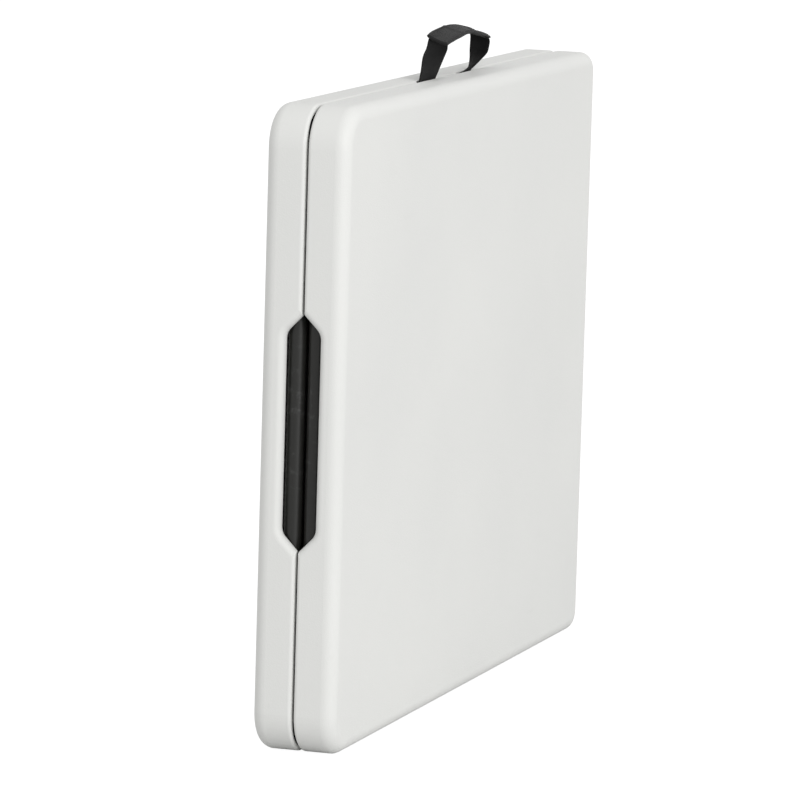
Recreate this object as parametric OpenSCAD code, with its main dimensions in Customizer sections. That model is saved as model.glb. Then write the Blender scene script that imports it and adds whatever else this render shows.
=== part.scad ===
// Fold-in-half table, folded flat and standing on its long edge.
// X runs along the folded half, Y through its thickness, Z up across the table top.
// Half A lies at +Y and half B at -Y; the seam between them is the plane Y = 0.

/* [Top] */
// Length of one half of the top
half_len = 900; // [880:5:940]
// Width of the top, which is the height when folded
top_w = 700; // [680:5:740]
// Thickness of one half
shell_t = 45.7; // [44:0.1:50]
// Gap between the two folded halves
seam = 2.6; // [1.6:0.2:4]
// Corner radius at the open end
corner_r = 45; // [36:1:55]
// Corner radius at the hinged end
hinge_corner_r = 24; // [20:1:30]
// Rounding of the edge round the table top
edge_r = 15; // [10:1:18]
// Rounding of the rim at the seam
rim_r = 4; // [1.5:0.5:4.5]
// Thickness of the skirt round the pocket
wall = 9; // [8:0.5:10]
// Corner radius of the pocket at the open end
pocket_r = 24; // [20:1:26]
// Depth of the pocket floor below the seam
floor_d = 28; // [28:0.5:30]

/* [Finger notch] */
// Length of the notch from tip to tip
notch_len = 256; // [220:2:280]
// Depth of the notch below the seam
notch_d = 19.5; // [18:0.5:22]
// Length of each sloping end
notch_taper = 20; // [16:1:28]
// Radius of its two deep corners
notch_r = 16; // [8:1:18]
// Rounding of its lip on the end face
lip_r = 8; // [2:0.5:8]

/* [Frame] */
// Radius of the round end bars
bar_r = 10; // [9:0.5:10]
// Distance from the end face to the centre of an end bar
bar_inset = 21.5; // [19.5:0.5:24]
// Depth of the centre of an end bar
bar_d = 11.5; // [11.5:0.5:13]
// Side of the square rails
rail = 20; // [18:1:20]
// Wall of all steel tubes
tube_wall = 1.5; // [1.2:0.1:1.8]

/* [Legs] */
// Height of the table with the legs drawn out
stand_h = 740; // [700:5:745]
// Distance from the centre hinge to a leg pivot
pivot_run = 830; // [826:1:834]
// Pivot to foot bar, with the legs pushed in
leg_len = 410; // [400:1:412]
// Depth of the leg axes
leg_d = 12.5; // [12.5:0.1:13]
// Radius of the outer leg tubes and the foot bar
leg_r = 11; // [10.5:0.5:11]
// Radius of the inner leg tubes
inner_r = 9.1; // [8.5:0.1:9.1]
// Distance from the table's edge to a leg tube
leg_inset = 60; // [58:1:64]

/* [Centre hinge] */
// Radius of the hinge eyes
eye_r = 6.5; // [6:0.1:7]
// Radius of the hinge pins
pin_r = 3.5; // [3:0.1:3.8]
// Distance from the table's edge to a hinge
hinge_inset = 90; // [85:1:110]

/* [Strap] */
// Thickness of the webbing
web_t = 1.6; // [1.4:0.1:1.8]

/* [Hidden] */

$fn = 64;
cut = 1;          // how far a cutting solid runs past a face
slip = 0.05;      // clearance of a pin in its hole
weld = 0.05;      // gap left at a fitted tube end

white = "#e4e5e2";
black = "#2b2b29";
grey = "#6a6c6c";
rubber = "#1c1c1c";

// The folded table is centred on X = 0 with the hinge eyes included.
hinge_clear = 0.5;
x0 = -(half_len + hinge_clear + eye_r) / 2;
x1 = x0 + half_len;
hinge_x = x1 + hinge_clear;
mid_z = top_w / 2;
half_x = (x0 + x1) / 2;
rim = seam / 2;
top_d = rim + shell_t;

// Rails lie on the pocket floor, a little in from the skirt.
rail_gap = 7;
rail_z = wall + rail_gap;
rail_in_z = rail_z + rail;
rail_d = floor_d - rail;
rail_x0 = x0 + wall + 10;
rail_x1 = x1 - wall - 5;
plug_t = 2;
bar_x = x0 + bar_inset;
hinge_bar_x = x1 - 41.5;

// Legs
pivot_x = hinge_x - pivot_run;
foot_x = pivot_x + leg_len;
outer_end = foot_x - 35;
inner_start = pivot_x + 30;
bracket_t = 6;
trunnion_r = 6;
crossbar_r = 8;
crossbar_run = 205;
crossbar_x = pivot_x + crossbar_run;
knob_x = outer_end - 17;
collar_t = 6;
cap_r = leg_r + 0.4;

// The brace is straight when its leg stands square and folded when the leg is stowed.
brace_run = 235;
brace_x = pivot_x + brace_run;
brace_d = 19.5;
link_w = 12;
link_t = 3;
link_gap = 0.5;
upper_z = mid_z - 3.5;
lower_z = upper_z + link_t + link_gap;
brace_full = sqrt(brace_run * brace_run + pow(crossbar_run + brace_d - leg_d, 2));
brace_step = 30;
upper_len = (brace_full - brace_step) / 2;
lower_len = (brace_full + brace_step) / 2;
fold_x = brace_run - crossbar_run;
fold_d = brace_d - leg_d;
fold_span = sqrt(fold_x * fold_x + fold_d * fold_d);
upper_turn = acos((upper_len * upper_len + fold_span * fold_span - lower_len * lower_len)
    / (2 * upper_len * fold_span)) - 180 + atan2(fold_d, fold_x);
elbow_x = brace_x + upper_len * cos(upper_turn);
elbow_d = brace_d + upper_len * sin(upper_turn);

// Centre hinge plates, across the hinge
lug_gap = 0.5;
lug_t = 3;
mid_lug_t = 4;

// Edges of the webbing from one anchor to the other: [back X, Y, Z, front X, Y, Z, layers],
// with X from the middle of the top and Z from its upper edge.
strap_route = [
    [-80, 7.1, -36, -42, 7.1, -36, 1],
    [-80, 7.1, -17, -40, 7.1, -17, 1],
    [-79, 2, -10, -32, 2, -10, 1],
    [-77, 1.2, -2, -21, 1.2, -2, 1],
    [-68, 2, 11, -18, -3, 10, 1],
    [-55, 4.5, 25, -16.5, -8, 23, 1],
    [-34, 7.5, 34.5, -15.5, -11, 31, 1],
    [-15, 11.5, 43, -15, -12, 37.5, 2],
    [4, 12, 49.5, 4, -12, 40, 2.6],
    [28, 12, 52.5, 26, -12, 42, 2.6],
    [58, 12, 53, 56, -12, 45, 2.6],
    [88, 12, 51, 86, -12, 44, 2.6],
    [114, 12, 47.5, 112, -12, 41, 2.6],
    [132, 12, 44.5, 131, -12, 37.5, 2.4],
    [138, 12, 39, 137.5, -12, 32.5, 1.6],
    [138, 12, 30, 135.5, -12, 26, 1],
    [137, 12, 20, 131, -11, 18, 1],
    [131, 10, 9, 119, -6.5, 10, 1],
    [106, 4, 1, 111, -2.5, 4, 1],
    [67, 1.2, -2, 107, 1.2, -2, 1],
    [66, 2, -10, 105, 2, -10, 1],
    [65, 7.1, -17, 103, 7.1, -17, 1],
    [64, 7.1, -36, 102, 7.1, -36, 1]
];
slot_d = rim + 3;
slots = [[-82, -15], [60, 113]];
anchor_x = [-61, 83];

// ---- helpers: (x, z, d) is the frame of one half, with d the depth from the seam ----

module on_half(side) {
    if (side > 0) {
        mirror([0, 1, 0]) rotate([90, 0, 0]) children();
    } else {
        rotate([90, 0, 0]) children();
    }
}

module rod_x(x, z, d, len, r) {
    translate([x, z, d]) rotate([0, 90, 0]) cylinder(h = len, r = r);
}

module rod_z(x, z, d, len, r) {
    translate([x, z, d]) rotate([-90, 0, 0]) cylinder(h = len, r = r);
}

module rod_d(x, z, d, len, r) {
    translate([x, z, d]) cylinder(h = len, r = r);
}

// Draws its children as they are, or mirrored across the table's width.
module low_or_high(high) {
    if (high) {
        translate([0, top_w, 0]) mirror([0, 1, 0]) children();
    } else {
        children();
    }
}

module both_edges() {
    low_or_high(false) children();
    low_or_high(true) children();
}

// ---- plastic shells ----

module quarter(r) {
    intersection() {
        circle(r);
        square(r);
    }
}

// Section through the border of a half: round at the table top, with a smaller round at the seam.
module border_section(w) {
    translate([0, rim]) square([w - edge_r, shell_t]);
    translate([w - edge_r, rim + rim_r]) square([edge_r, shell_t - edge_r - rim_r]);
    translate([w - edge_r, rim]) square([edge_r - rim_r, rim_r]);
    translate([w - edge_r, top_d - edge_r]) quarter(edge_r);
    translate([w - rim_r, rim + rim_r]) mirror([0, 1]) quarter(rim_r);
}

module border_corner(x, z, turn, r) {
    translate([x, z, 0]) rotate([0, 0, turn]) rotate_extrude(angle = 90) border_section(r);
}

// A straight stretch of border that looks outwards at the angle turn.
module border_side(x, z, turn, w, len) {
    translate([x, z, 0]) rotate([0, 0, turn]) rotate([90, 0, 0])
        translate([0, 0, -len]) linear_extrude(len) border_section(w);
}

module shell_blank() {
    r = corner_r;
    h = hinge_corner_r;
    border_corner(x0 + r, r, 180, r);
    border_corner(x0 + r, top_w - r, 90, r);
    border_corner(x1 - h, h, 270, h);
    border_corner(x1 - h, top_w - h, 0, h);
    border_side(x0 + r, top_w - r, 180, r, top_w - 2 * r);
    border_side(x1 - h, h, 0, h, top_w - 2 * h);
    border_side(x0 + r, r, 270, r, half_len - r - h);
    border_side(x1 - h, top_w - r, 90, r, half_len - r - h);
    translate([x0 + r, r, rim]) cube([half_len - r - h, top_w - 2 * r, shell_t]);
}

module pocket_outline() {
    l = pocket_r;
    h = hinge_corner_r - wall;
    xa = x0 + wall;
    xb = x1 - wall;
    za = wall;
    zb = top_w - wall;
    translate([xa + l, za]) square([xb - xa - l - h, zb - za]);
    translate([xa, za + l]) square([l, zb - za - 2 * l]);
    translate([xb - h, za + h]) square([h, zb - za - 2 * h]);
    translate([xa + l, za + l]) rotate(180) quarter(l);
    translate([xa + l, zb - l]) rotate(90) quarter(l);
    translate([xb - h, za + h]) rotate(270) quarter(h);
    translate([xb - h, zb - h]) quarter(h);
}

function arc(cx, cy, r, from, to, steps) =
    [for (i = [0 : steps]) let (a = from + (to - from) * i / steps) [cx + r * cos(a), cy + r * sin(a)]];

// Outline of the notch, with every edge moved outwards by grow.
function notch_outline(grow) =
    let (
        slope = atan2(notch_d, notch_taper),
        set_back = notch_r * tan(slope / 2),
        arc_z = notch_len / 2 - notch_taper - set_back,
        arc_d = notch_d - notch_r,
        tip = notch_len / 2 + grow / sin(slope) + cut / tan(slope),
        steps = 8
    )
    concat([[tip, -cut], [-tip, -cut]],
        arc(-arc_z, arc_d, notch_r + grow, 90 + slope, 90, steps),
        arc(arc_z, arc_d, notch_r + grow, 90, 90 - slope, steps));

// Skin through outlines that lie one after another along X.
module stack(layers) {
    n = len(layers[0]);
    m = len(layers);
    points = [for (layer = layers) for (p = layer) p];
    sides = [for (i = [0 : m - 2]) for (k = [0 : n - 1]) let (a = i * n + k, b = i * n + (k + 1) % n)
        for (tri = [[a, b + n, b], [a, a + n, b + n]]) tri];
    polyhedron(points, concat([[for (k = [0 : n - 1]) k]], sides,
        [[for (k = [0 : n - 1]) m * n - 1 - k]]));
}

// The lip flares out to the end face on a quarter circle.
module notch_lip() {
    steps = 6;
    ease = 0.2;
    flare = [for (i = [0 : steps]) let (a = 90 * i / steps) [lip_r * (1 - sin(a)), lip_r * (1 - cos(a))]];
    places = concat([[lip_r + ease, -ease]], flare, [[-cut, lip_r]]);
    stack([for (p = places) [for (q = notch_outline(p[1])) [x0 + p[0], mid_z + q[0], q[1]]]]);
}

module finger_notch() {
    translate([x0 - cut, mid_z, 0]) rotate([90, 0, 90])
        linear_extrude(wall + 2 * cut) polygon(notch_outline(0));
    notch_lip();
}

// Tack-off dimples in the pocket floor, in rows that stay clear of the frame and the legs.
dimple_cols = 7;
dimple_step = 112;
dimple_x = half_x - 3 * dimple_step;
dimple_rows = [120, 195, 270];
dimple_r = 15;
dimple_foot_r = 9;
dimple_d = 5;

module dimples() {
    for (i = [0 : dimple_cols - 1]) {
        for (z = dimple_rows) {
            both_edges() translate([dimple_x + i * dimple_step, z, floor_d - 0.01])
                cylinder(h = dimple_d, r1 = dimple_r, r2 = dimple_foot_r);
        }
    }
}

screw_r = 2;
screw_len = 12;
screw_head_r = 4;
screw_head_h = 2;
clip_x = [-290, 10, 330];
clip_t = 1.5;
clip_w = 20;
clip_foot = 15;
cradle_x = outer_end - 68;
cradle_w = 20;
cradle_half = 14;
cradle_base = 3;
bracket_plate_t = 2;
bracket_screw_z = 20;
brace_screw_mid = mid_z - 4;

// Places of the screws in the pocket floor: [x, z, depth of the seat].
function clip_screws() = [for (x = clip_x) [x, rail_in_z + clip_t + clip_foot / 2 + 0.5, floor_d - clip_t]];

module floor_screw_places() {
    for (p = clip_screws()) {
        both_edges() translate(p) children();
    }
    for (s = [-1, 1]) {
        translate([brace_x, brace_screw_mid + s * bracket_screw_z, floor_d - bracket_plate_t]) children();
    }
}

module pilot_holes() {
    floor_screw_places() translate([0, 0, -cut]) cylinder(h = screw_len + 3, r = screw_r + slip);
}

module hinge_windows() {
    band = 26;
    both_edges() translate([x1 - wall - cut, hinge_inset - band / 2, 0])
        cube([wall + 2 * cut, band, 24]);
}

module shell() {
    difference() {
        shell_blank();
        translate([0, 0, rim - cut]) linear_extrude(floor_d - rim + cut) pocket_outline();
        finger_notch();
        hinge_windows();
        dimples();
        pilot_holes();
    }
}

module strap_slots() {
    for (s = slots) {
        translate([half_x + s[0], top_w - wall - cut, 0])
            cube([s[1] - s[0], wall + 2 * cut, slot_d]);
    }
}

module shell_a() {
    color(white) on_half(1) difference() {
        shell();
        strap_slots();
    }
}

module shell_b() {
    color(white) on_half(-1) shell();
}

// ---- frame of one half ----

module side_rail(side, high) {
    color(black) on_half(side) low_or_high(high) difference() {
        translate([rail_x0, rail_z, rail_d]) cube([rail_x1 - rail_x0, rail, rail]);
        translate([rail_x0 - cut, rail_z + tube_wall, rail_d + tube_wall])
            cube([rail_x1 - rail_x0 + 2 * cut, rail - 2 * tube_wall, rail - 2 * tube_wall]);
    }
}

module rail_plug(x, dir) {
    inset = tube_wall + 0.1;
    inner = rail - 2 * inset;
    depth = 12;
    translate([dir > 0 ? x : x - plug_t, rail_z, rail_d]) cube([plug_t, rail, rail]);
    translate([dir > 0 ? x - depth : x, rail_z + inset, rail_d + inset]) cube([depth, inner, inner]);
}

module rail_plugs(side) {
    color(rubber) on_half(side) both_edges() {
        rail_plug(rail_x0, -1);
        rail_plug(rail_x1, 1);
    }
}

module end_bar(side) {
    len = top_w - 2 * rail_in_z;
    color(black) on_half(side) difference() {
        rod_z(bar_x, rail_in_z, bar_d, len, bar_r);
        rod_z(bar_x, rail_in_z - cut, bar_d, len + 2 * cut, bar_r - tube_wall);
    }
}

module hinge_bar(side) {
    len = top_w - 2 * rail_in_z;
    inner = rail - 2 * tube_wall;
    color(black) on_half(side) difference() {
        translate([hinge_bar_x, rail_in_z, rail_d]) cube([rail, len, rail]);
        translate([hinge_bar_x + tube_wall, rail_in_z - cut, rail_d + tube_wall])
            cube([inner, len + 2 * cut, inner]);
    }
}

// An L-shaped clip that hooks over a rail and is screwed to the pocket floor.
module rail_clip(x) {
    lip = 14;
    translate([x - clip_w / 2, rail_in_z - lip, rail_d - clip_t]) cube([clip_w, lip + clip_t, clip_t]);
    translate([x - clip_w / 2, rail_in_z, rail_d - clip_t]) cube([clip_w, clip_t, rail + clip_t]);
    difference() {
        translate([x - clip_w / 2, rail_in_z, floor_d - clip_t])
            cube([clip_w, clip_t + clip_foot, clip_t]);
        rod_d(x, rail_in_z + clip_t + clip_foot / 2 + 0.5, floor_d - clip_t - cut, clip_t + 2 * cut,
            screw_r + slip);
    }
}

module rail_clips(side) {
    color(grey) on_half(side) both_edges() {
        for (x = clip_x) {
            rail_clip(x);
        }
    }
}

// Pan-head screw with a cross recess; its head stands on the seam side of its seat.
module screw(len, head_r, head_h) {
    slot_w = 1.2;
    difference() {
        union() {
            cylinder(h = len, r = screw_r);
            translate([0, 0, -head_h]) cylinder(h = head_h, r = head_r);
        }
        for (a = [0, 90]) {
            rotate([0, 0, a]) translate([-head_r * 0.6, -slot_w / 2, -head_h - cut])
                cube([head_r * 1.2, slot_w, cut + head_h * 0.6]);
        }
    }
}

module floor_screws(side) {
    color(grey) on_half(side) floor_screw_places() screw(screw_len, screw_head_r, screw_head_h);
}

// ---- leg mounts ----

module leg_bracket() {
    half_w = 17;
    d_low = 2;
    d_high = 24;
    difference() {
        translate([pivot_x - half_w, rail_in_z, d_low]) cube([2 * half_w, bracket_t, d_high - d_low]);
        rod_z(pivot_x, rail_in_z - cut, leg_d, bracket_t + 2 * cut, trunnion_r + slip);
    }
}

module leg_brackets(side) {
    color(black) on_half(side) both_edges() leg_bracket();
}

// An open plastic cradle that the stowed leg tube lies in.
module leg_cradle() {
    fit_r = leg_r + 0.5;
    d_low = 7;
    difference() {
        translate([cradle_x - cradle_w / 2, leg_inset - cradle_half, d_low])
            cube([cradle_w, 2 * cradle_half, floor_d - d_low]);
        rod_x(cradle_x - cradle_w / 2 - cut, leg_inset, leg_d, cradle_w + 2 * cut, fit_r);
        translate([cradle_x - cradle_w / 2 - cut, leg_inset - fit_r, d_low - cut])
            cube([cradle_w + 2 * cut, 2 * fit_r, leg_d - d_low + cut]);
    }
}

module leg_cradles(side) {
    color(rubber) on_half(side) both_edges() leg_cradle();
}

brace_pin_r = 3.5;
ear_t = 3;
ear_z = upper_z - link_gap - ear_t;

module brace_bracket(side) {
    plate_x = 30;
    plate_z = 56;
    plate_d = floor_d - bracket_plate_t;
    color(black) on_half(side) difference() {
        union() {
            translate([brace_x - plate_x / 2, brace_screw_mid - plate_z / 2, plate_d])
                cube([plate_x, plate_z, bracket_plate_t]);
            rod_z(brace_x, ear_z, brace_d, ear_t, link_w / 2 + 1);
            translate([brace_x - link_w / 2 - 1, ear_z, brace_d])
                cube([link_w + 2, ear_t, plate_d - brace_d]);
        }
        rod_z(brace_x, ear_z - cut, brace_d, ear_t + 2 * cut, brace_pin_r);
        for (s = [-1, 1]) {
            rod_d(brace_x, brace_screw_mid + s * bracket_screw_z, plate_d - cut, bracket_plate_t + 2 * cut,
                screw_r + slip);
        }
    }
}

module brace_pin(side) {
    head_t = 1.5;
    color(grey) on_half(side) {
        rod_z(brace_x, ear_z - head_t, brace_d, head_t, brace_pin_r + 2);
        rod_z(brace_x, ear_z, brace_d, ear_t + link_gap + link_t, brace_pin_r);
    }
}

// ---- centre hinge ----

// A plate from the hinge bar to the hinge axis.
module hinge_lug(z, t) {
    root_x = hinge_bar_x + rail;
    difference() {
        translate([0, z, 0]) rotate([-90, 0, 0]) mirror([0, 1, 0]) linear_extrude(t) {
            polygon([
                [root_x, rail_d], [root_x, floor_d - 6], [root_x + 8, floor_d - 6],
                [hinge_x + eye_r * cos(40), eye_r * sin(40)],
                [hinge_x - eye_r * cos(50), -eye_r * sin(50)]
            ]);
            translate([hinge_x, 0]) circle(eye_r);
        }
        rod_z(hinge_x, z - cut, 0, t + 2 * cut, pin_r + (t == mid_lug_t ? slip : 0));
    }
}

module hinge_lugs_a() {
    color(black) on_half(1) both_edges() {
        hinge_lug(hinge_inset - mid_lug_t / 2 - lug_gap - lug_t, lug_t);
        hinge_lug(hinge_inset + mid_lug_t / 2 + lug_gap, lug_t);
    }
}

module hinge_lugs_b() {
    color(black) on_half(-1) both_edges() hinge_lug(hinge_inset - mid_lug_t / 2, mid_lug_t);
}

module hinge_pins() {
    head_t = 1.5;
    reach = mid_lug_t / 2 + lug_gap + lug_t;
    color(grey) on_half(1) both_edges() {
        rod_z(hinge_x, hinge_inset - reach, 0, 2 * reach, pin_r);
        rod_z(hinge_x, hinge_inset - reach - head_t, 0, head_t, eye_r - 1);
        rod_z(hinge_x, hinge_inset + reach, 0, head_t, eye_r - 1);
    }
}

// ---- legs ----

module leg_pivot_bar(side) {
    end_z = rail_in_z + bracket_t + 0.5;
    pin_z = rail_in_z + 1;
    color(black) on_half(side) {
        rod_z(pivot_x, end_z, leg_d, top_w - 2 * end_z, bar_r);
        rod_z(pivot_x, pin_z, leg_d, top_w - 2 * pin_z, trunnion_r);
    }
}

boss_r = 7;
boss_h = 17;
knob_screw_r = 3;

module leg_tube(side, high) {
    color(black) on_half(side) low_or_high(high) difference() {
        union() {
            rod_x(pivot_x, leg_inset, leg_d, outer_end - pivot_x, leg_r);
            rod_z(knob_x, leg_inset, leg_d, boss_h, boss_r);
        }
        rod_x(pivot_x, leg_inset, leg_d, outer_end - pivot_x + cut, inner_r + 0.3);
        rod_z(pivot_x, leg_inset - 2 * leg_r, leg_d, 4 * leg_r, bar_r + weld);
        rod_z(knob_x, leg_inset, leg_d, boss_h + cut, knob_screw_r + slip);
    }
}

module leg_collars(side) {
    color(rubber) on_half(side) both_edges() difference() {
        rod_x(outer_end, leg_inset, leg_d, collar_t, leg_r);
        rod_x(outer_end - cut, leg_inset, leg_d, collar_t + 2 * cut, inner_r + 0.3);
    }
}

// Crossbar with two rings that keep the brace in its place.
module leg_crossbar(side) {
    ring_r = crossbar_r + 2;
    ring_t = 2;
    color(black) on_half(side) difference() {
        union() {
            rod_z(crossbar_x, leg_inset, leg_d, top_w - 2 * leg_inset, crossbar_r);
            rod_z(crossbar_x, lower_z - link_gap - ring_t, leg_d, ring_t, ring_r);
            rod_z(crossbar_x, lower_z + link_t + link_gap, leg_d, ring_t, ring_r);
        }
        both_edges() rod_x(crossbar_x - 2 * leg_r, leg_inset, leg_d, 4 * leg_r, leg_r + weld);
    }
}

module inner_tube(side, high) {
    color(grey) on_half(side) low_or_high(high) difference() {
        rod_x(inner_start, leg_inset, leg_d, foot_x - inner_start, inner_r);
        rod_x(inner_start - cut, leg_inset, leg_d, foot_x - inner_start + cut, inner_r - tube_wall);
        rod_z(foot_x, leg_inset - 2 * leg_r, leg_d, 4 * leg_r, leg_r + weld);
    }
}

foot_end_z = rail_in_z + 10;

module foot_bar(side) {
    len = top_w - 2 * foot_end_z;
    color(black) on_half(side) difference() {
        rod_z(foot_x, foot_end_z, leg_d, len, leg_r);
        rod_z(foot_x, foot_end_z - cut, leg_d, len + 2 * cut, leg_r - tube_wall);
    }
}

module foot_caps(side) {
    over = 4;
    cap_t = 4;
    plug_len = 10;
    color(rubber) on_half(side) both_edges() {
        difference() {
            rod_z(foot_x, foot_end_z - cap_t, leg_d, cap_t + over, cap_r);
            rod_z(foot_x, foot_end_z, leg_d, over + cut, leg_r + weld);
        }
        rod_z(foot_x, foot_end_z - cap_t, leg_d, cap_t + plug_len, leg_r - tube_wall - 0.1);
    }
}

// ---- brace ----

// A flat link from (xa, da) to (xb, db) in the plane z, with a rivet head at its far end.
module link(xa, da, xb, db, z, hole_r, eye, head_side) {
    turn = atan2(db - da, xb - xa);
    len = sqrt(pow(xb - xa, 2) + pow(db - da, 2));
    head_t = 1.2;
    difference() {
        translate([0, z, 0]) rotate([-90, 0, 0]) mirror([0, 1, 0]) translate([xa, da]) rotate(turn)
            linear_extrude(link_t) {
                circle(eye);
                translate([0, -link_w / 2]) square([len, link_w]);
                translate([len, 0]) circle(link_w / 2);
            }
        rod_z(xa, z - cut, da, link_t + 2 * cut, hole_r);
    }
    rod_z(xb, head_side > 0 ? z + link_t : z - head_t, db, head_t, link_w / 2 - 1);
}

module brace_upper(side) {
    color(black) on_half(side)
        link(brace_x, brace_d, elbow_x, elbow_d, upper_z, brace_pin_r + slip, link_w / 2, -1);
}

module brace_lower(side) {
    color(black) on_half(side)
        link(crossbar_x, leg_d, elbow_x, elbow_d, lower_z, crossbar_r + slip, crossbar_r + 3, 1);
}

// ---- clamp knobs ----

module knob(side, high) {
    knob_h = 14;
    knob_z = leg_inset + boss_h + 1;
    lobes = 6;
    dent_r = 4;
    shaft_z = leg_inset + inner_r + 0.5;
    color(rubber) on_half(side) low_or_high(high) union() {
        difference() {
            rod_z(knob_x, knob_z, leg_d, knob_h, leg_r);
            for (i = [0 : lobes - 1]) {
                rod_z(knob_x + (leg_r + 2) * cos(i * 60), knob_z - cut,
                    leg_d + (leg_r + 2) * sin(i * 60), knob_h + 2 * cut, dent_r);
            }
        }
        rod_z(knob_x, shaft_z, leg_d, knob_z - shaft_z + cut, knob_screw_r);
    }
}

// ---- strap ----

function back_edge(row) = [half_x + row[0], row[1], top_w + row[2]];
function front_edge(row) = [half_x + row[3], row[4], top_w + row[5]];
function middle(row) = (back_edge(row) + front_edge(row)) / 2;

// Four corners of the webbing at one row of the route, between the rows a and b.
function strap_ring(a, row, b) =
    let (
        across = front_edge(row) - back_edge(row),
        normal = cross(middle(b) - middle(a), across),
        t = normal / norm(normal) * web_t * row[6] / 2
    )
    [back_edge(row) - t, front_edge(row) - t, front_edge(row) + t, back_edge(row) + t];

module strap() {
    n = len(strap_route);
    rings = [for (i = [0 : n - 1])
        strap_ring(strap_route[max(i - 1, 0)], strap_route[i], strap_route[min(i + 1, n - 1)])];
    points = [for (ring = rings) for (p = ring) p];
    sides = [for (i = [0 : n - 2]) for (k = [0 : 3]) let (a = 4 * i + k, b = 4 * i + (k + 1) % 4)
        for (tri = [[a, b + 4, b], [a, a + 4, b + 4]]) tri];
    last = 4 * (n - 1);
    ends = [[0, 1, 2], [0, 2, 3], [last, last + 2, last + 1], [last, last + 3, last + 2]];
    color(black) polyhedron(points, concat(sides, ends));
}

anchor_w = 44;
anchor_h = 13;
anchor_t = 1.4;
anchor_d = rail_d - 0.2 - web_t;
anchor_z = top_w - rail_z - rail / 2;

module anchor_places() {
    for (x = anchor_x) {
        for (s = [-1, 1]) {
            translate([half_x + x + s * anchor_w / 4, anchor_z, 0]) children();
        }
    }
}

module strap_anchors() {
    color(grey) on_half(1) difference() {
        for (x = anchor_x) {
            translate([half_x + x - anchor_w / 2, anchor_z - anchor_h / 2, anchor_d - anchor_t])
                cube([anchor_w, anchor_h, anchor_t]);
        }
        anchor_places() translate([0, 0, anchor_d - anchor_t - cut])
            cylinder(h = anchor_t + 2 * cut, r = screw_r + slip);
    }
}

module strap_screws() {
    color(grey) on_half(1) anchor_places() translate([0, 0, anchor_d - anchor_t])
        screw(6, 3.2, 1.4);
}

shell_a();
side_rail(1, false);  // side_rail_a_low
side_rail(1, true);  // side_rail_a_high
end_bar(1);  // end_bar_a
hinge_bar(1);  // hinge_bar_a
rail_plugs(1);  // rail_plugs_a
rail_clips(1);  // rail_clips_a
floor_screws(1);  // floor_screws_a
leg_brackets(1);  // leg_brackets_a
brace_bracket(1);  // brace_bracket_a
brace_pin(1);  // brace_pin_a
leg_cradles(1);  // leg_cradles_a
hinge_lugs_a();
hinge_pins();
strap();
strap_anchors();
strap_screws();
shell_b();
side_rail(-1, false);  // side_rail_b_low
side_rail(-1, true);  // side_rail_b_high
end_bar(-1);  // end_bar_b
hinge_bar(-1);  // hinge_bar_b
rail_plugs(-1);  // rail_plugs_b
rail_clips(-1);  // rail_clips_b
floor_screws(-1);  // floor_screws_b
leg_brackets(-1);  // leg_brackets_b
brace_bracket(-1);  // brace_bracket_b
brace_pin(-1);  // brace_pin_b
leg_cradles(-1);  // leg_cradles_b
hinge_lugs_b();
leg_pivot_bar(1);  // leg_pivot_bar_a
leg_tube(1, false);  // leg_tube_a_low
leg_tube(1, true);  // leg_tube_a_high
leg_crossbar(1);  // leg_crossbar_a
leg_collars(1);  // leg_collars_a
leg_pivot_bar(-1);  // leg_pivot_bar_b
leg_tube(-1, false);  // leg_tube_b_low
leg_tube(-1, true);  // leg_tube_b_high
leg_crossbar(-1);  // leg_crossbar_b
leg_collars(-1);  // leg_collars_b
inner_tube(1, false);  // inner_tube_a_low
inner_tube(1, true);  // inner_tube_a_high
foot_bar(1);  // foot_bar_a
foot_caps(1);  // foot_caps_a
inner_tube(-1, false);  // inner_tube_b_low
inner_tube(-1, true);  // inner_tube_b_high
foot_bar(-1);  // foot_bar_b
foot_caps(-1);  // foot_caps_b
brace_upper(1);  // brace_upper_a
brace_lower(1);  // brace_lower_a
brace_upper(-1);  // brace_upper_b
brace_lower(-1);  // brace_lower_b
knob(1, false);  // knob_a_low
knob(1, true);  // knob_a_high
knob(-1, false);  // knob_b_low
knob(-1, true);  // knob_b_high
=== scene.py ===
import math

import bmesh
import bpy
from mathutils import Matrix, Vector, noise


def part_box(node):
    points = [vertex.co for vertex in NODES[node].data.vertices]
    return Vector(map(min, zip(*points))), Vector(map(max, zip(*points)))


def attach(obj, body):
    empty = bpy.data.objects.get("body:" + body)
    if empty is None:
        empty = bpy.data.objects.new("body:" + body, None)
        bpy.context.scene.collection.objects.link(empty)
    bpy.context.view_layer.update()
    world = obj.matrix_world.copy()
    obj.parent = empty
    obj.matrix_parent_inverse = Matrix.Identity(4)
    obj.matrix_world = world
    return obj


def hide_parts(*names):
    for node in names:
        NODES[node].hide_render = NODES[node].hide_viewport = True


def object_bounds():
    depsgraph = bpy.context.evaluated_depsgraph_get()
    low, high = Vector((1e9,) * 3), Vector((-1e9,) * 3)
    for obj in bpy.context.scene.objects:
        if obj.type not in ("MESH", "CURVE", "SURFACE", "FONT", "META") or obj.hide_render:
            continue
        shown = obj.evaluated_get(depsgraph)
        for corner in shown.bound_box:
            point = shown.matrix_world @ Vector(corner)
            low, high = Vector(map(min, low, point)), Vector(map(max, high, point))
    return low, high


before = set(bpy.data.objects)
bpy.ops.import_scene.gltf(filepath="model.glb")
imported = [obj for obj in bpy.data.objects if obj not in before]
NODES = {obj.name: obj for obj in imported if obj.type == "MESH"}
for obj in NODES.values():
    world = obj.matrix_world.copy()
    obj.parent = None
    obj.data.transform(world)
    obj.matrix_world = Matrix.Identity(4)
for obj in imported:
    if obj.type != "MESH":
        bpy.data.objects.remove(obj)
CAD_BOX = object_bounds()
MM = 0.001

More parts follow.
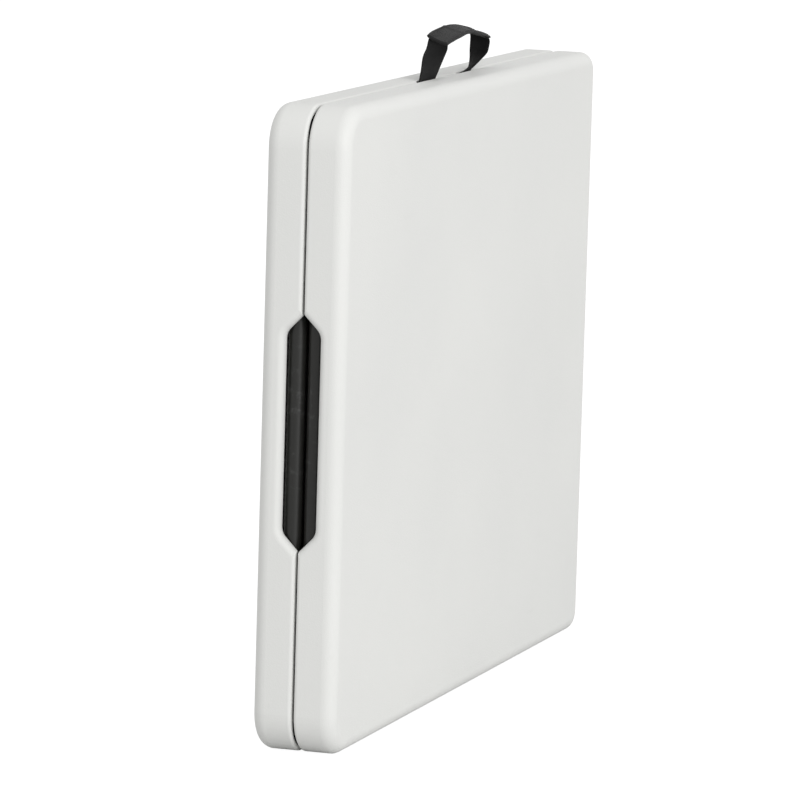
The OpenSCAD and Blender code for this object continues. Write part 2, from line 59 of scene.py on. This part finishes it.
LOW, HIGH = CAD_BOX
CENTRE = (LOW + HIGH) / 2


# ---- camera, world, floor and light ----

# Angles in degrees, distances in metres, lens and sensor in millimetres
CAMERA_YAW, CAMERA_PITCH, CAMERA_ROLL = 71.5345, 8.0308, -1.6545
CAMERA_DISTANCE = 6.6993
CAMERA_AIM_RIGHT, CAMERA_AIM_UP = -0.03875, -0.04618
CAMERA_LENS = 265.6
CAMERA_SENSOR = 36
CAMERA_CLIP = 0.1, 200

# The key light stands to the lens's right and a little higher.
KEY_DISTANCE = 10.0
KEY_PLACE = CENTRE + KEY_DISTANCE * Vector((-0.54, -0.74, 0.25)).normalized()
KEY_SIZE = 5.0
KEY_POWER = 405

# The floor lies just under the table, so the two never share a plane.
FLOOR_DROP = 0.2 * MM


def make_camera():
    """A long lens from the open end and a little above, at the photograph's viewing angle."""
    angles = CAMERA_YAW, CAMERA_PITCH, CAMERA_ROLL
    yaw, pitch, roll = (math.radians(a) for a in angles)
    forward = Vector((
        math.sin(yaw) * math.cos(pitch),
        math.cos(yaw) * math.cos(pitch),
        -math.sin(pitch),
    ))
    level_right = Vector((math.cos(yaw), -math.sin(yaw), 0))
    level_up = level_right.cross(forward)
    right = math.cos(roll) * level_right - math.sin(roll) * level_up
    up = math.sin(roll) * level_right + math.cos(roll) * level_up
    camera = bpy.data.objects.new("camera", bpy.data.cameras.new("camera"))
    camera.data.sensor_width = CAMERA_SENSOR
    camera.data.lens = CAMERA_LENS
    camera.data.clip_start, camera.data.clip_end = CAMERA_CLIP
    turn = Matrix((right, up, -forward)).transposed().to_4x4()
    place = CENTRE - forward * CAMERA_DISTANCE + right * CAMERA_AIM_RIGHT + up * CAMERA_AIM_UP
    camera.matrix_world = Matrix.Translation(place) @ turn
    bpy.context.scene.collection.objects.link(camera)
    bpy.context.scene.camera = camera


def make_world(seen=1.0, light=0.80):
    """A white surround: seen is what the camera meets, light is what the object is lit by."""
    world = bpy.data.worlds.new("studio")
    bpy.context.scene.world = world
    world.use_nodes = True
    tree = world.node_tree
    background = tree.nodes["Background"]
    background.inputs["Color"].default_value = (1, 1, 1, 1)
    path = tree.nodes.new("ShaderNodeLightPath")
    strength = tree.nodes.new("ShaderNodeMapRange")
    strength.inputs["To Min"].default_value = light
    strength.inputs["To Max"].default_value = seen
    tree.links.new(path.outputs["Is Camera Ray"], strength.inputs["Value"])
    tree.links.new(strength.outputs["Result"], background.inputs["Strength"])


def make_floor(seen=0.96, bounce=0.66, shadow=0.16, size=60):
    """A white floor, size metres each way. The lens meets seen plus a faint shadow, and the
    object is lit by bounce."""
    mesh = bpy.data.meshes.new("floor")
    level = LOW.z - FLOOR_DROP
    ways = ((-1, -1), (1, -1), (1, 1), (-1, 1))
    mesh.from_pydata([(x * size, y * size, level) for x, y in ways], [], [(0, 1, 2, 3)])
    floor = bpy.data.objects.new("floor", mesh)
    bpy.context.scene.collection.objects.link(floor)
    material = bpy.data.materials.new("studio_floor")
    material.use_nodes = True
    tree = material.node_tree
    shader = tree.nodes["Principled BSDF"]
    shader.inputs["Roughness"].default_value = 1
    shader.inputs["Specular IOR Level"].default_value = 0
    shader.inputs["Emission Color"].default_value = (1, 1, 1, 1)
    path = tree.nodes.new("ShaderNodeLightPath")
    glow = tree.nodes.new("ShaderNodeMapRange")
    glow.inputs["To Min"].default_value = 0
    glow.inputs["To Max"].default_value = seen
    albedo = tree.nodes.new("ShaderNodeMapRange")
    albedo.inputs["To Min"].default_value = bounce
    albedo.inputs["To Max"].default_value = shadow
    for node, socket in ((glow, "Emission Strength"), (albedo, "Base Color")):
        tree.links.new(path.outputs["Is Camera Ray"], node.inputs["Value"])
        tree.links.new(node.outputs["Result"], shader.inputs[socket])
    mesh.materials.append(material)


def area_light(name, place, size, power):
    """A round soft light that faces the object."""
    light = bpy.data.lights.new(name, "AREA")
    light.shape = "DISK"
    light.size = size
    light.energy = power
    lamp = bpy.data.objects.new(name, light)
    lamp.location = place
    lamp.rotation_euler = (CENTRE - Vector(place)).to_track_quat("-Z", "Y").to_euler()
    bpy.context.scene.collection.objects.link(lamp)


# ---- materials ----

class Paint:
    """A Principled material with short calls for the nodes that feed it. Patterns follow object
    space, in metres, so they stay on a part when it moves."""

    def __init__(self, name, roughness=0.5, metallic=0.0, specular=0.5):
        self.material = bpy.data.materials.new(name)
        self.material.use_nodes = True
        self.tree = self.material.node_tree
        self.shader = self.tree.nodes["Principled BSDF"]
        self.shader.inputs["Roughness"].default_value = roughness
        self.shader.inputs["Metallic"].default_value = metallic
        self.shader.inputs["Specular IOR Level"].default_value = specular
        self.place = self.tree.nodes.new("ShaderNodeTexCoord").outputs["Object"]

    def feed(self, socket, value):
        """Links value to socket if it is one, or sets it as the socket's number or colour."""
        if isinstance(value, bpy.types.NodeSocket):
            self.tree.links.new(value, socket)
        elif isinstance(value, tuple):
            socket.default_value = (*value, 1) if len(socket.default_value) == 4 else value
        else:
            socket.default_value = value

    def stretch(self, scale):
        """Object space, scaled by a different number along each axis."""
        node = self.tree.nodes.new("ShaderNodeMapping")
        self.feed(node.inputs["Vector"], self.place)
        self.feed(node.inputs["Scale"], scale)
        return node.outputs["Vector"]

    def noise(self, scale, detail=2.0, rough=0.5, place=None):
        node = self.tree.nodes.new("ShaderNodeTexNoise")
        self.feed(node.inputs["Vector"], place or self.place)
        self.feed(node.inputs["Scale"], scale)
        self.feed(node.inputs["Detail"], detail)
        self.feed(node.inputs["Roughness"], rough)
        return node.outputs["Fac"]

    def cells(self, scale, smooth=0.6):
        node = self.tree.nodes.new("ShaderNodeTexVoronoi")
        node.feature = "SMOOTH_F1"
        self.feed(node.inputs["Vector"], self.place)
        self.feed(node.inputs["Scale"], scale)
        self.feed(node.inputs["Smoothness"], smooth)
        return node.outputs["Distance"]

    def math(self, operation, a, b=0.0):
        node = self.tree.nodes.new("ShaderNodeMath")
        node.operation = operation
        for socket, value in zip(node.inputs, (a, b)):
            self.feed(socket, value)
        return node.outputs[0]

    def span(self, value, low, high, to_low=0.0, to_high=1.0):
        """value, taken from low..high to to_low..to_high and clamped."""
        node = self.tree.nodes.new("ShaderNodeMapRange")
        for socket, number in zip(node.inputs, (value, low, high, to_low, to_high)):
            self.feed(socket, number)
        return node.outputs["Result"]

    def blend(self, share, a, b):
        """The colour that is share of the way from a to b."""
        node = self.tree.nodes.new("ShaderNodeMix")
        node.data_type = "RGBA"
        self.feed(node.inputs[0], share)
        for socket, value in zip([s for s in node.inputs if s.type == "RGBA"], (a, b)):
            self.feed(socket, value)
        return next(s for s in node.outputs if s.type == "RGBA")

    def colour(self, value):
        self.feed(self.shader.inputs["Base Color"], value)

    def roughness(self, value):
        self.feed(self.shader.inputs["Roughness"], value)

    def bump(self, *heights):
        """Each height is (value, depth in metres)."""
        normal = None
        for value, depth in heights:
            node = self.tree.nodes.new("ShaderNodeBump")
            self.feed(node.inputs["Height"], value)
            self.feed(node.inputs["Distance"], depth)
            if normal:
                self.feed(node.inputs["Normal"], normal)
            normal = node.outputs["Normal"]
        self.feed(self.shader.inputs["Normal"], normal)


def white_plastic():
    """Blow-moulded polyethylene: a fine pebble, slow waves from cooling, and faint scuffs."""
    paint = Paint("white_plastic", specular=0.28)
    cloud = paint.span(paint.noise(3.2, 3), 0.35, 0.65)
    clean = paint.blend(cloud, (0.775, 0.778, 0.757), (0.748, 0.752, 0.734))
    streak = paint.noise(1.0, 4, 0.6, paint.stretch((9, 60, 46)))
    rub = paint.noise(5.5, 2)
    scuff = paint.math("MULTIPLY", paint.span(streak, 0.62, 0.72),
        paint.span(rub, 0.55, 0.68, 0, 0.1))
    paint.colour(paint.blend(scuff, clean, (0.62, 0.62, 0.60)))
    grain = paint.cells(620)
    paint.roughness(paint.math("ADD", paint.span(grain, 0.1, 0.6, 0.40, 0.50),
        paint.math("MULTIPLY", scuff, 0.3)))
    waves, pebble = paint.noise(9, 1), paint.noise(2600, 1)
    paint.bump((waves, 0.5 * MM), (grain, 0.09 * MM), (pebble, 0.02 * MM))
    return paint.material


def powder_coat(name, base, worn, edge):
    """Baked powder: orange peel, a dusting of lighter grains, and lighter rubbed streaks and
    patches: wear, and on the black steel partly painted reflection.
    """
    paint = Paint(name, specular=0.44)
    peel = paint.noise(900, 2, 0.55)
    grain = paint.noise(3200, 1)
    rub = paint.span(paint.noise(1.0, 4, 0.65, paint.stretch((14, 90, 90))), 0.58, 0.74)
    patch = paint.span(paint.noise(7, 2), 0.45, 0.62)
    # Lighter rubbed patches: wear, and on the black steel partly painted reflection.
    wear_and_painted_reflection = paint.math("MULTIPLY", paint.math("MULTIPLY", rub, patch), edge)
    speck = paint.blend(paint.span(grain, 0.5, 0.8), base, tuple(1.7 * c for c in base))
    paint.colour(paint.blend(wear_and_painted_reflection, speck, worn))
    paint.roughness(paint.math("ADD", paint.span(peel, 0.3, 0.7, 0.32, 0.42),
        paint.math("MULTIPLY", wear_and_painted_reflection, -0.2)))
    paint.bump((peel, 0.035 * MM), (grain, 0.012 * MM))
    return paint.material


def zinc(name, scale):
    """Bright zinc plate with a crystalline bloom and fine polishing lines."""
    paint = Paint(name, metallic=1.0)
    bloom = paint.span(paint.noise(scale, 3), 0.35, 0.65)
    paint.colour(paint.blend(bloom, (0.50, 0.51, 0.52), (0.38, 0.385, 0.38)))
    lines = paint.noise(1.0, 3, 0.7, paint.stretch((120, 2400, 2400)))
    paint.roughness(paint.span(lines, 0.3, 0.7, 0.26, 0.46))
    paint.bump((lines, 0.012 * MM), (paint.noise(1500, 1), 0.01 * MM))
    return paint.material


def moulded(name, base, roughness, grain_scale, dust):
    """Moulded black plastic or rubber with a spark-eroded grain and patches of dust."""
    paint = Paint(name, specular=0.35)
    grain = paint.noise(grain_scale, 2, 0.6)
    patch = paint.span(paint.noise(26, 3), 0.5, 0.75, 0, dust)
    paint.colour(paint.blend(patch, base, (0.16, 0.155, 0.145)))
    paint.roughness(paint.span(grain, 0.3, 0.7, roughness - 0.05, roughness + 0.07))
    paint.bump((grain, 0.05 * MM))
    return paint.material


def webbing_weave(name, painted_shade_scale):
    """Black polypropylene webbing. The map's U runs across and its V along, both in metres.
    The second argument scales the colours and the sheen: below 1 it is painted shade, a darker copy
    of the same cloth."""
    pitch_u, pitch_v = 2.4 * MM, 1.5 * MM
    paint = Paint(name, specular=0.2)
    split = paint.tree.nodes.new("ShaderNodeSeparateXYZ")
    map_node = paint.tree.nodes.new("ShaderNodeUVMap")
    map_node.uv_map = "cloth"
    paint.feed(split.inputs[0], map_node.outputs["UV"])
    u, v = split.outputs["X"], split.outputs["Y"]
    across = paint.math("PINGPONG", u, pitch_u / 2)
    rib = paint.math("SINE", paint.math("MULTIPLY", u, 4 * math.pi / pitch_u))
    chevron = paint.math("ADD", paint.math("MULTIPLY", v, 2 * math.pi / pitch_v),
        paint.math("MULTIPLY", across, 2 * math.pi / pitch_u))
    pick = paint.math("SINE", chevron)
    weave = paint.math("ADD", paint.math("MULTIPLY", pick, 0.35),
        paint.math("MULTIPLY", rib, 0.15))
    weave = paint.math("ADD", weave, 0.5)
    fibre = paint.noise(5200, 2)
    # Painted shade in the weave's grooves: the colour follows the weave's height and is darker
    # where it is low, mixed with random fibre tone.
    groove_shade_and_fibre_tone = paint.math("ADD", paint.math("MULTIPLY", weave, 0.75),
        paint.math("MULTIPLY", fibre, 0.25))
    worn = paint.span(paint.noise(38, 3), 0.4, 0.7)
    light = paint.blend(worn, (0.015 * painted_shade_scale,) * 3, (0.032 * painted_shade_scale,) * 3)
    paint.colour(paint.blend(groove_shade_and_fibre_tone, (0.005 * painted_shade_scale,) * 3, light))
    paint.roughness(paint.span(fibre, 0.3, 0.7, 0.62, 0.8))
    paint.shader.inputs["Sheen Weight"].default_value = 0.07 * painted_shade_scale
    paint.shader.inputs["Sheen Roughness"].default_value = 0.45
    paint.bump((weave, 0.28 * MM), (fibre, 0.03 * MM))
    return paint.material


def thread():
    """The black sewing thread of the strap."""
    paint = Paint("thread", specular=0.4)
    twist = paint.noise(4200, 2)
    paint.colour(paint.blend(twist, (0.012, 0.012, 0.012), (0.045, 0.045, 0.045)))
    paint.roughness(paint.span(twist, 0.3, 0.7, 0.45, 0.6))
    paint.bump((twist, 0.05 * MM))
    return paint.material


# By slot, and by cloth for the strap's pieces
MATERIALS = {
    "white_plastic": white_plastic(),
    # Its stronger rubbed patches are partly wear and partly painted reflection on the dark tubes.
    "black_steel": powder_coat(
        "black_steel", (0.015, 0.015, 0.0135), worn=(0.11, 0.11, 0.11), edge=0.5),
    "black_plate": powder_coat(
        "black_plate", (0.019, 0.019, 0.018), worn=(0.16, 0.16, 0.16), edge=0.6),
    "grey_steel": powder_coat(
        "grey_steel", (0.155, 0.16, 0.165), worn=(0.34, 0.34, 0.34), edge=0.7),
    "zinc_plate": zinc("zinc_plate", 60),
    "zinc_screws": zinc("zinc_screws", 300),
    "black_plastic": moulded("black_plastic", (0.017, 0.017, 0.017), 0.5, 1600, 0.05),
    "rubber": moulded("rubber", (0.013, 0.013, 0.013), 0.74, 900, 0.14),
    # Painted shade: the legs' webbing is the sleeve's cloth at a quarter of its colour and sheen.
    "webbing": webbing_weave("webbing", 0.25),
    "sleeve": webbing_weave("sleeve_webbing", 1.0),
    "thread": thread(),
}


def dress_cad_nodes():
    """Gives every CAD node the finished material of its slot."""
    for node in NODES.values():
        for i, old in enumerate(node.data.materials):
            node.data.materials[i] = MATERIALS[old.name.split(".")[0]]


# ---- the carrying strap ----

# The routes' origin, in millimetres: near the middle of the top edge
STRAP_X, STRAP_Z = -3.5, 700
# Edges of the webbing in millimetres: (back X, Y, Z, front X, Y, Z)
STRAP_ROUTE = [
    (-80, 7.1, -36, -42, 7.1, -36), (-80, 7.1, -17, -40, 7.1, -17),
    (-79, 2, -10, -32, 2, -10), (-77, 1.2, -2, -21, 1.2, -2),
    (-68, 2, 11, -18, -3, 10), (-55, 4.5, 25, -16.5, -8, 23),
    (-34, 7.5, 34.5, -15.5, -11, 31), (-15, 11.5, 43, -15, -12, 37.5),
    (4, 12, 49.5, 4, -12, 40), (28, 12, 52.5, 26, -12, 42),
    (58, 12, 53, 56, -12, 45), (88, 12, 51, 86, -12, 44),
    (114, 12, 46.6, 112, -12, 40.2), (131, 12, 42.6, 130, -12, 35.8),
    (137.5, 12, 37.6, 137, -12, 31.2), (138, 12, 30, 135.5, -12, 26),
    (137, 12, 20, 131, -11, 18), (131, 10, 9, 119, -6.5, 10),
    (106, 4, 1, 111, -2.5, 4), (67, 1.2, -2, 107, 1.2, -2),
    (66, 2, -10, 105, 2, -10), (65, 7.1, -17, 103, 7.1, -17),
    (64, 7.1, -36, 102, 7.1, -36),
]
# The sewn sleeve that makes the grip, with its two free ends.
SLEEVE_ROUTE = [
    (-19.5, 12, 46.0, -19.5, -12, 37.0), (-8, 12, 48.8, -8, -12, 38.8), (6, 12, 50.6, 6, -12, 40.6),
    (28, 12, 52.2, 27, -12, 43), (56, 12, 52.9, 55, -12, 46), (79, 12, 51.6, 78, -12, 45.4),
    (107, 12, 48.1, 106, -12, 41.8), (126, 12, 45.4, 125, -12, 38.4),
    (140.5, 12, 42.8, 139, -12, 35.4),
]


def curve_point(points, t):
    """A point at row t of the smooth curve through points."""
    i = min(int(t), len(points) - 2)
    f = t - i
    p = [points[min(max(k, 0), len(points) - 1)] for k in (i - 1, i, i + 1, i + 2)]
    m1, m2 = (p[2] - p[0]) * 0.5, (p[3] - p[1]) * 0.5
    return ((2 * f ** 3 - 3 * f ** 2 + 1) * p[1] + (f ** 3 - 2 * f ** 2 + f) * m1
        + (3 * f ** 2 - 2 * f ** 3) * p[2] + (f ** 3 - f ** 2) * m2)


class Web:
    """A flat woven band along a route of rows, with a thickness and a slight crown."""

    tangent_step = 0.02

    def __init__(self, route, thickness, crown, wider=0.0):
        self.back = [Vector((STRAP_X + r[0], r[1], STRAP_Z + r[2])) * MM for r in route]
        self.front = [Vector((STRAP_X + r[3], r[4], STRAP_Z + r[5])) * MM for r in route]
        self.rows = len(route) - 1
        self.thickness, self.crown, self.wider = thickness, crown, wider

    def edges(self, t):
        """(back edge, front edge, outward normal) at row t."""
        back, front = curve_point(self.back, t), curve_point(self.front, t)
        a, b = max(t - self.tangent_step, 0), min(t + self.tangent_step, self.rows)
        along = (curve_point(self.back, b) + curve_point(self.front, b)
            - curve_point(self.back, a) - curve_point(self.front, a))
        return back, front, along.cross(front - back).normalized()

    def point(self, t, u, lift):
        """The place at row t, share u across from -1 to 1, lift above the middle of the band."""
        back, front, out = self.edges(t)
        side = (front - back).normalized()
        half = (front - back).length / 2 + self.wider
        return (back + front) / 2 + side * u * half + out * (lift + self.crown * (1 - u * u)), out


def band(name, cloth, web, profile, relief, steps=10):
    """The band's mesh, thinned over the last rings at each end. relief(t, u, run) is a small height
    added to both faces."""
    end_rings, end_thinning = 3, 0.75
    count = web.rows * steps
    bm = bmesh.new()
    uv = bm.loops.layers.uv.new("cloth")
    rings, run, last = [], 0.0, None
    for i in range(count + 1):
        t = web.rows * i / count
        middle = web.point(t, 0, 0)[0]
        run += (middle - last).length if last else 0.0
        last = middle
        back, front, _ = web.edges(t)
        half = (front - back).length / 2
        ends = min(t, web.rows - t) * steps / end_rings
        pinch = math.sqrt(1 - (1 - min(1.0, ends)) ** 2 * end_thinning)
        ring = []
        for u, h in profile:
            place = web.point(t, u, h * pinch + relief(t, u, run))[0]
            ring.append((bm.verts.new(place), u * half, run))
        rings.append(ring)
    n = len(profile)
    for a, b in zip(rings, rings[1:]):
        for k in range(n):
            add_face(bm, uv, (a[k], a[(k + 1) % n], b[(k + 1) % n], b[k]))
    for ring in (rings[0], rings[-1]):
        add_face(bm, uv, ring)
    bmesh.ops.recalc_face_normals(bm, faces=bm.faces)
    return finish_piece(name, bm, MATERIALS[cloth])


def add_face(bm, uv, corners):
    """A face through corners, each (vertex, U, V)."""
    face = bm.faces.new([c[0] for c in corners])
    face.smooth = len(corners) == 4
    for loop, corner in zip(face.loops, corners):
        loop[uv].uv = (corner[1], corner[2])


def section(thickness, selvedge, roundness, columns=20):
    """Points round a band's section: (share of the half width, height)."""
    top = []
    for i in range(columns + 1):
        u = -math.cos(math.pi * i / columns)
        rounding = math.sqrt(max(0.0, 1 - abs(u) ** roundness))
        top.append((u, thickness / 2 * (1 + selvedge * abs(u) ** 6) * rounding))
    return top + [(u, -h) for u, h in reversed(top[1:-1])]


def finish_piece(name, bm, material):
    """Turns the bmesh into an object in the scene."""
    mesh = bpy.data.meshes.new(name)
    bm.to_mesh(mesh)
    bm.free()
    mesh.materials.append(material)
    piece = bpy.data.objects.new(name, mesh)
    bpy.context.scene.collection.objects.link(piece)
    return piece


def thread_run(bm, points, radius=0.36 * MM, dip=0.22 * MM, sides=6, rings=5):
    """Stitches from point to point: each is (place, outward normal), a short arched thread."""
    for (p, n), (q, m) in zip(points, points[1:]):
        out = (n + m).normalized()
        along = (q - p).normalized()
        side = along.cross(out)
        loops = []
        for i in range(rings):
            f = i / (rings - 1)
            swell = math.sin(math.pi * (0.12 + 0.76 * f))
            centre = p.lerp(q, 0.06 + 0.88 * f) + out * (dip * (2 * swell - 1))
            r = radius * (0.55 + 0.45 * swell)
            loops.append([bm.verts.new(centre + (side * math.cos(a) + out * math.sin(a)) * r)
                for a in (2 * math.pi * k / sides for k in range(sides))])
        for a, b in zip(loops, loops[1:]):
            for k in range(sides):
                face = bm.faces.new((a[k], a[(k + 1) % sides], b[(k + 1) % sides], b[k]))
                face.smooth = True
        bm.faces.new(loops[0])
        bm.faces.new(reversed(loops[-1]))


def seam_points(web, path, lift, pitch=3.1 * MM, steps=80):
    """Evenly spaced stitch ends along a path of (row, share across) corners, on one face of a
    band."""
    fine = []
    flip = 1 if lift > 0 else -1
    for (t0, u0), (t1, u1) in zip(path, path[1:]):
        for i in range(steps + 1):
            t, u = t0 + (t1 - t0) * i / steps, u0 + (u1 - u0) * i / steps
            place, out = web.point(t, u, lift)
            fine.append((place, out * flip))
    kept, run = [fine[0]], 0.0
    for a, b in zip(fine, fine[1:]):
        run += (b[0] - a[0]).length
        if run >= pitch:
            kept.append(b)
            run = 0.0
    return kept


def make_strap():
    """The webbing, the sleeve of its grip and the sleeve's stitches."""
    web = Web(STRAP_ROUTE, 1.6 * MM, 0.4 * MM)
    sleeve = Web(SLEEVE_ROUTE, 4.4 * MM, 1.3 * MM, wider=0.6 * MM)

    # One cross crease in the sleeve: its row, slant and width in rows
    crease_row, crease_slant, crease_width, crease_depth = 3.45, 0.12, 0.12, 0.9 * MM

    # Rows at each end of the webbing that lie flat in the seam
    flat_rows = 3

    def leg_relief(t, u, run):
        free = min(1.0, max(0.0, t - flat_rows)) * min(1.0, max(0.0, web.rows - flat_rows - t))
        return free * 0.5 * MM * noise.noise(Vector((u * 1.4, run * 38, 0.3)))

    def sleeve_relief(t, u, run):
        crease = math.exp(-((t - crease_row - crease_slant * u) / crease_width) ** 2)
        wrinkle = noise.noise(Vector((u * 1.5, run * 45, 7.7)))
        return 0.45 * MM * wrinkle - crease_depth * crease

    base = band("strap_webbing", "webbing", web, section(web.thickness, 0.15, 40), leg_relief)
    grip = band("strap_grip", "sleeve", sleeve, section(sleeve.thickness, 0.0, 7), sleeve_relief)
    bm = bmesh.new()
    # The seams' share across, their distance from the sleeve's ends, and the crossed boxes' length
    edge, end, box = 0.78, 0.28, 1.7
    sunk = 0.1 * MM
    for face in (1, -1):
        lift = face * (sleeve.thickness / 2 - sunk)
        near, far = end, sleeve.rows - end
        for u in (-edge, edge):
            thread_run(bm, seam_points(sleeve, [(near, u), (far, u)], lift))
        for a, b in ((near, near + box), (far - box, far)):
            thread_run(bm, seam_points(sleeve, [(a, -edge), (b, edge)], lift))
            thread_run(bm, seam_points(sleeve, [(a, edge), (b, -edge)], lift))
            thread_run(bm, seam_points(sleeve, [(a, -edge), (a, edge)], lift))
            thread_run(bm, seam_points(sleeve, [(b, -edge), (b, edge)], lift))
    bmesh.ops.recalc_face_normals(bm, faces=bm.faces)
    stitches = finish_piece("strap_stitching", bm, MATERIALS["thread"])
    for piece in (base, grip, stitches):
        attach(piece, "half_a")
    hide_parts("strap")


# ---- welds ----

# The crossbars' radius, and how far a bead's middle line stands off the two tubes it joins
CROSSBAR_R = 8 * MM
OFF_TUBE, OFF_BAR = 0.3 * MM, 0.2 * MM


def bead(bm, loop, seed, radius=1.3 * MM, sides=7):
    """A rippled weld bead along a closed loop of points."""
    n = len(loop)
    centre = sum(loop, Vector()) / n
    rings = []
    for i, p in enumerate(loop):
        along = (loop[(i + 1) % n] - loop[i - 1]).normalized()
        out = (p - centre - along * (p - centre).dot(along)).normalized()
        side = along.cross(out)
        ripple = (0.85 + 0.15 * math.cos(2 * math.pi * i / 4)
            + 0.25 * noise.noise(Vector((i * 0.37, seed, 0.5))))
        rings.append([bm.verts.new(p + (out * math.cos(a) + side * math.sin(a)) * radius * ripple)
            for a in (2 * math.pi * k / sides for k in range(sides))])
    for i in range(n):
        a, b = rings[i], rings[(i + 1) % n]
        for k in range(sides):
            face = bm.faces.new((a[k], a[(k + 1) % sides], b[(k + 1) % sides], b[k]))
            face.smooth = True


def saddle(centre, tube_r, across_r, axis, way, steps=72):
    """Where a tube along axis ("X" or "Z") meets, on its side way, the round tube at centre."""
    points = []
    for i in range(steps):
        a = 2 * math.pi * i / steps
        y, level = tube_r * math.sin(a), tube_r * math.cos(a)
        reach = way * math.sqrt(max(0.0, across_r ** 2 - y ** 2))
        offset = (level, y, reach) if axis == "Z" else (reach, y, level)
        points.append(centre + Vector(offset))
    return points


def middle_and_half(node):
    """The middle and the half size of a node's box."""
    low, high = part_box(node)
    return (low + high) / 2, (high - low) / 2


def make_welds():
    """The beads of both halves, where crossbar, foot bar and end bar meet their tubes."""
    for half in "ab":
        on_leg, on_foot, on_frame = bmesh.new(), bmesh.new(), bmesh.new()
        crossbar, _ = middle_and_half(f"leg_crossbar_{half}")
        foot, foot_half = middle_and_half(f"foot_bar_{half}")
        end, end_half = middle_and_half(f"end_bar_{half}")
        tube_r = foot_half.x
        for seed, (level, way) in enumerate((("low", 1), ("high", -1))):
            inner, inner_half = middle_and_half(f"inner_tube_{half}_{level}")
            place = Vector((crossbar.x, crossbar.y, inner.z))
            bead(on_leg, saddle(place, CROSSBAR_R + OFF_TUBE, tube_r + OFF_BAR, "Z", way), seed)
            place = Vector((foot.x, foot.y, inner.z))
            ring = saddle(place, inner_half.z + OFF_TUBE, tube_r + OFF_BAR, "X", -1)
            bead(on_foot, ring, seed + 3)
            place = Vector((end.x, end.y, end.z - way * (end_half.z - OFF_TUBE)))
            bead(on_frame, saddle(place, end_half.x, 0.0, "Z", 1), seed + 6)
        for bm, name, body in (
            (on_leg, "leg", "leg_"),
            (on_foot, "foot", "foot_"),
            (on_frame, "frame", "half_"),
        ):
            bmesh.ops.recalc_face_normals(bm, faces=bm.faces)
            piece = finish_piece(f"{name}_welds_{half}", bm, MATERIALS["black_steel"])
            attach(piece, body + half)


bpy.context.scene.view_settings.view_transform = "Standard"
make_camera()
make_world()
make_floor()
area_light("key", KEY_PLACE, KEY_SIZE, KEY_POWER)
dress_cad_nodes()
make_strap()
make_welds()
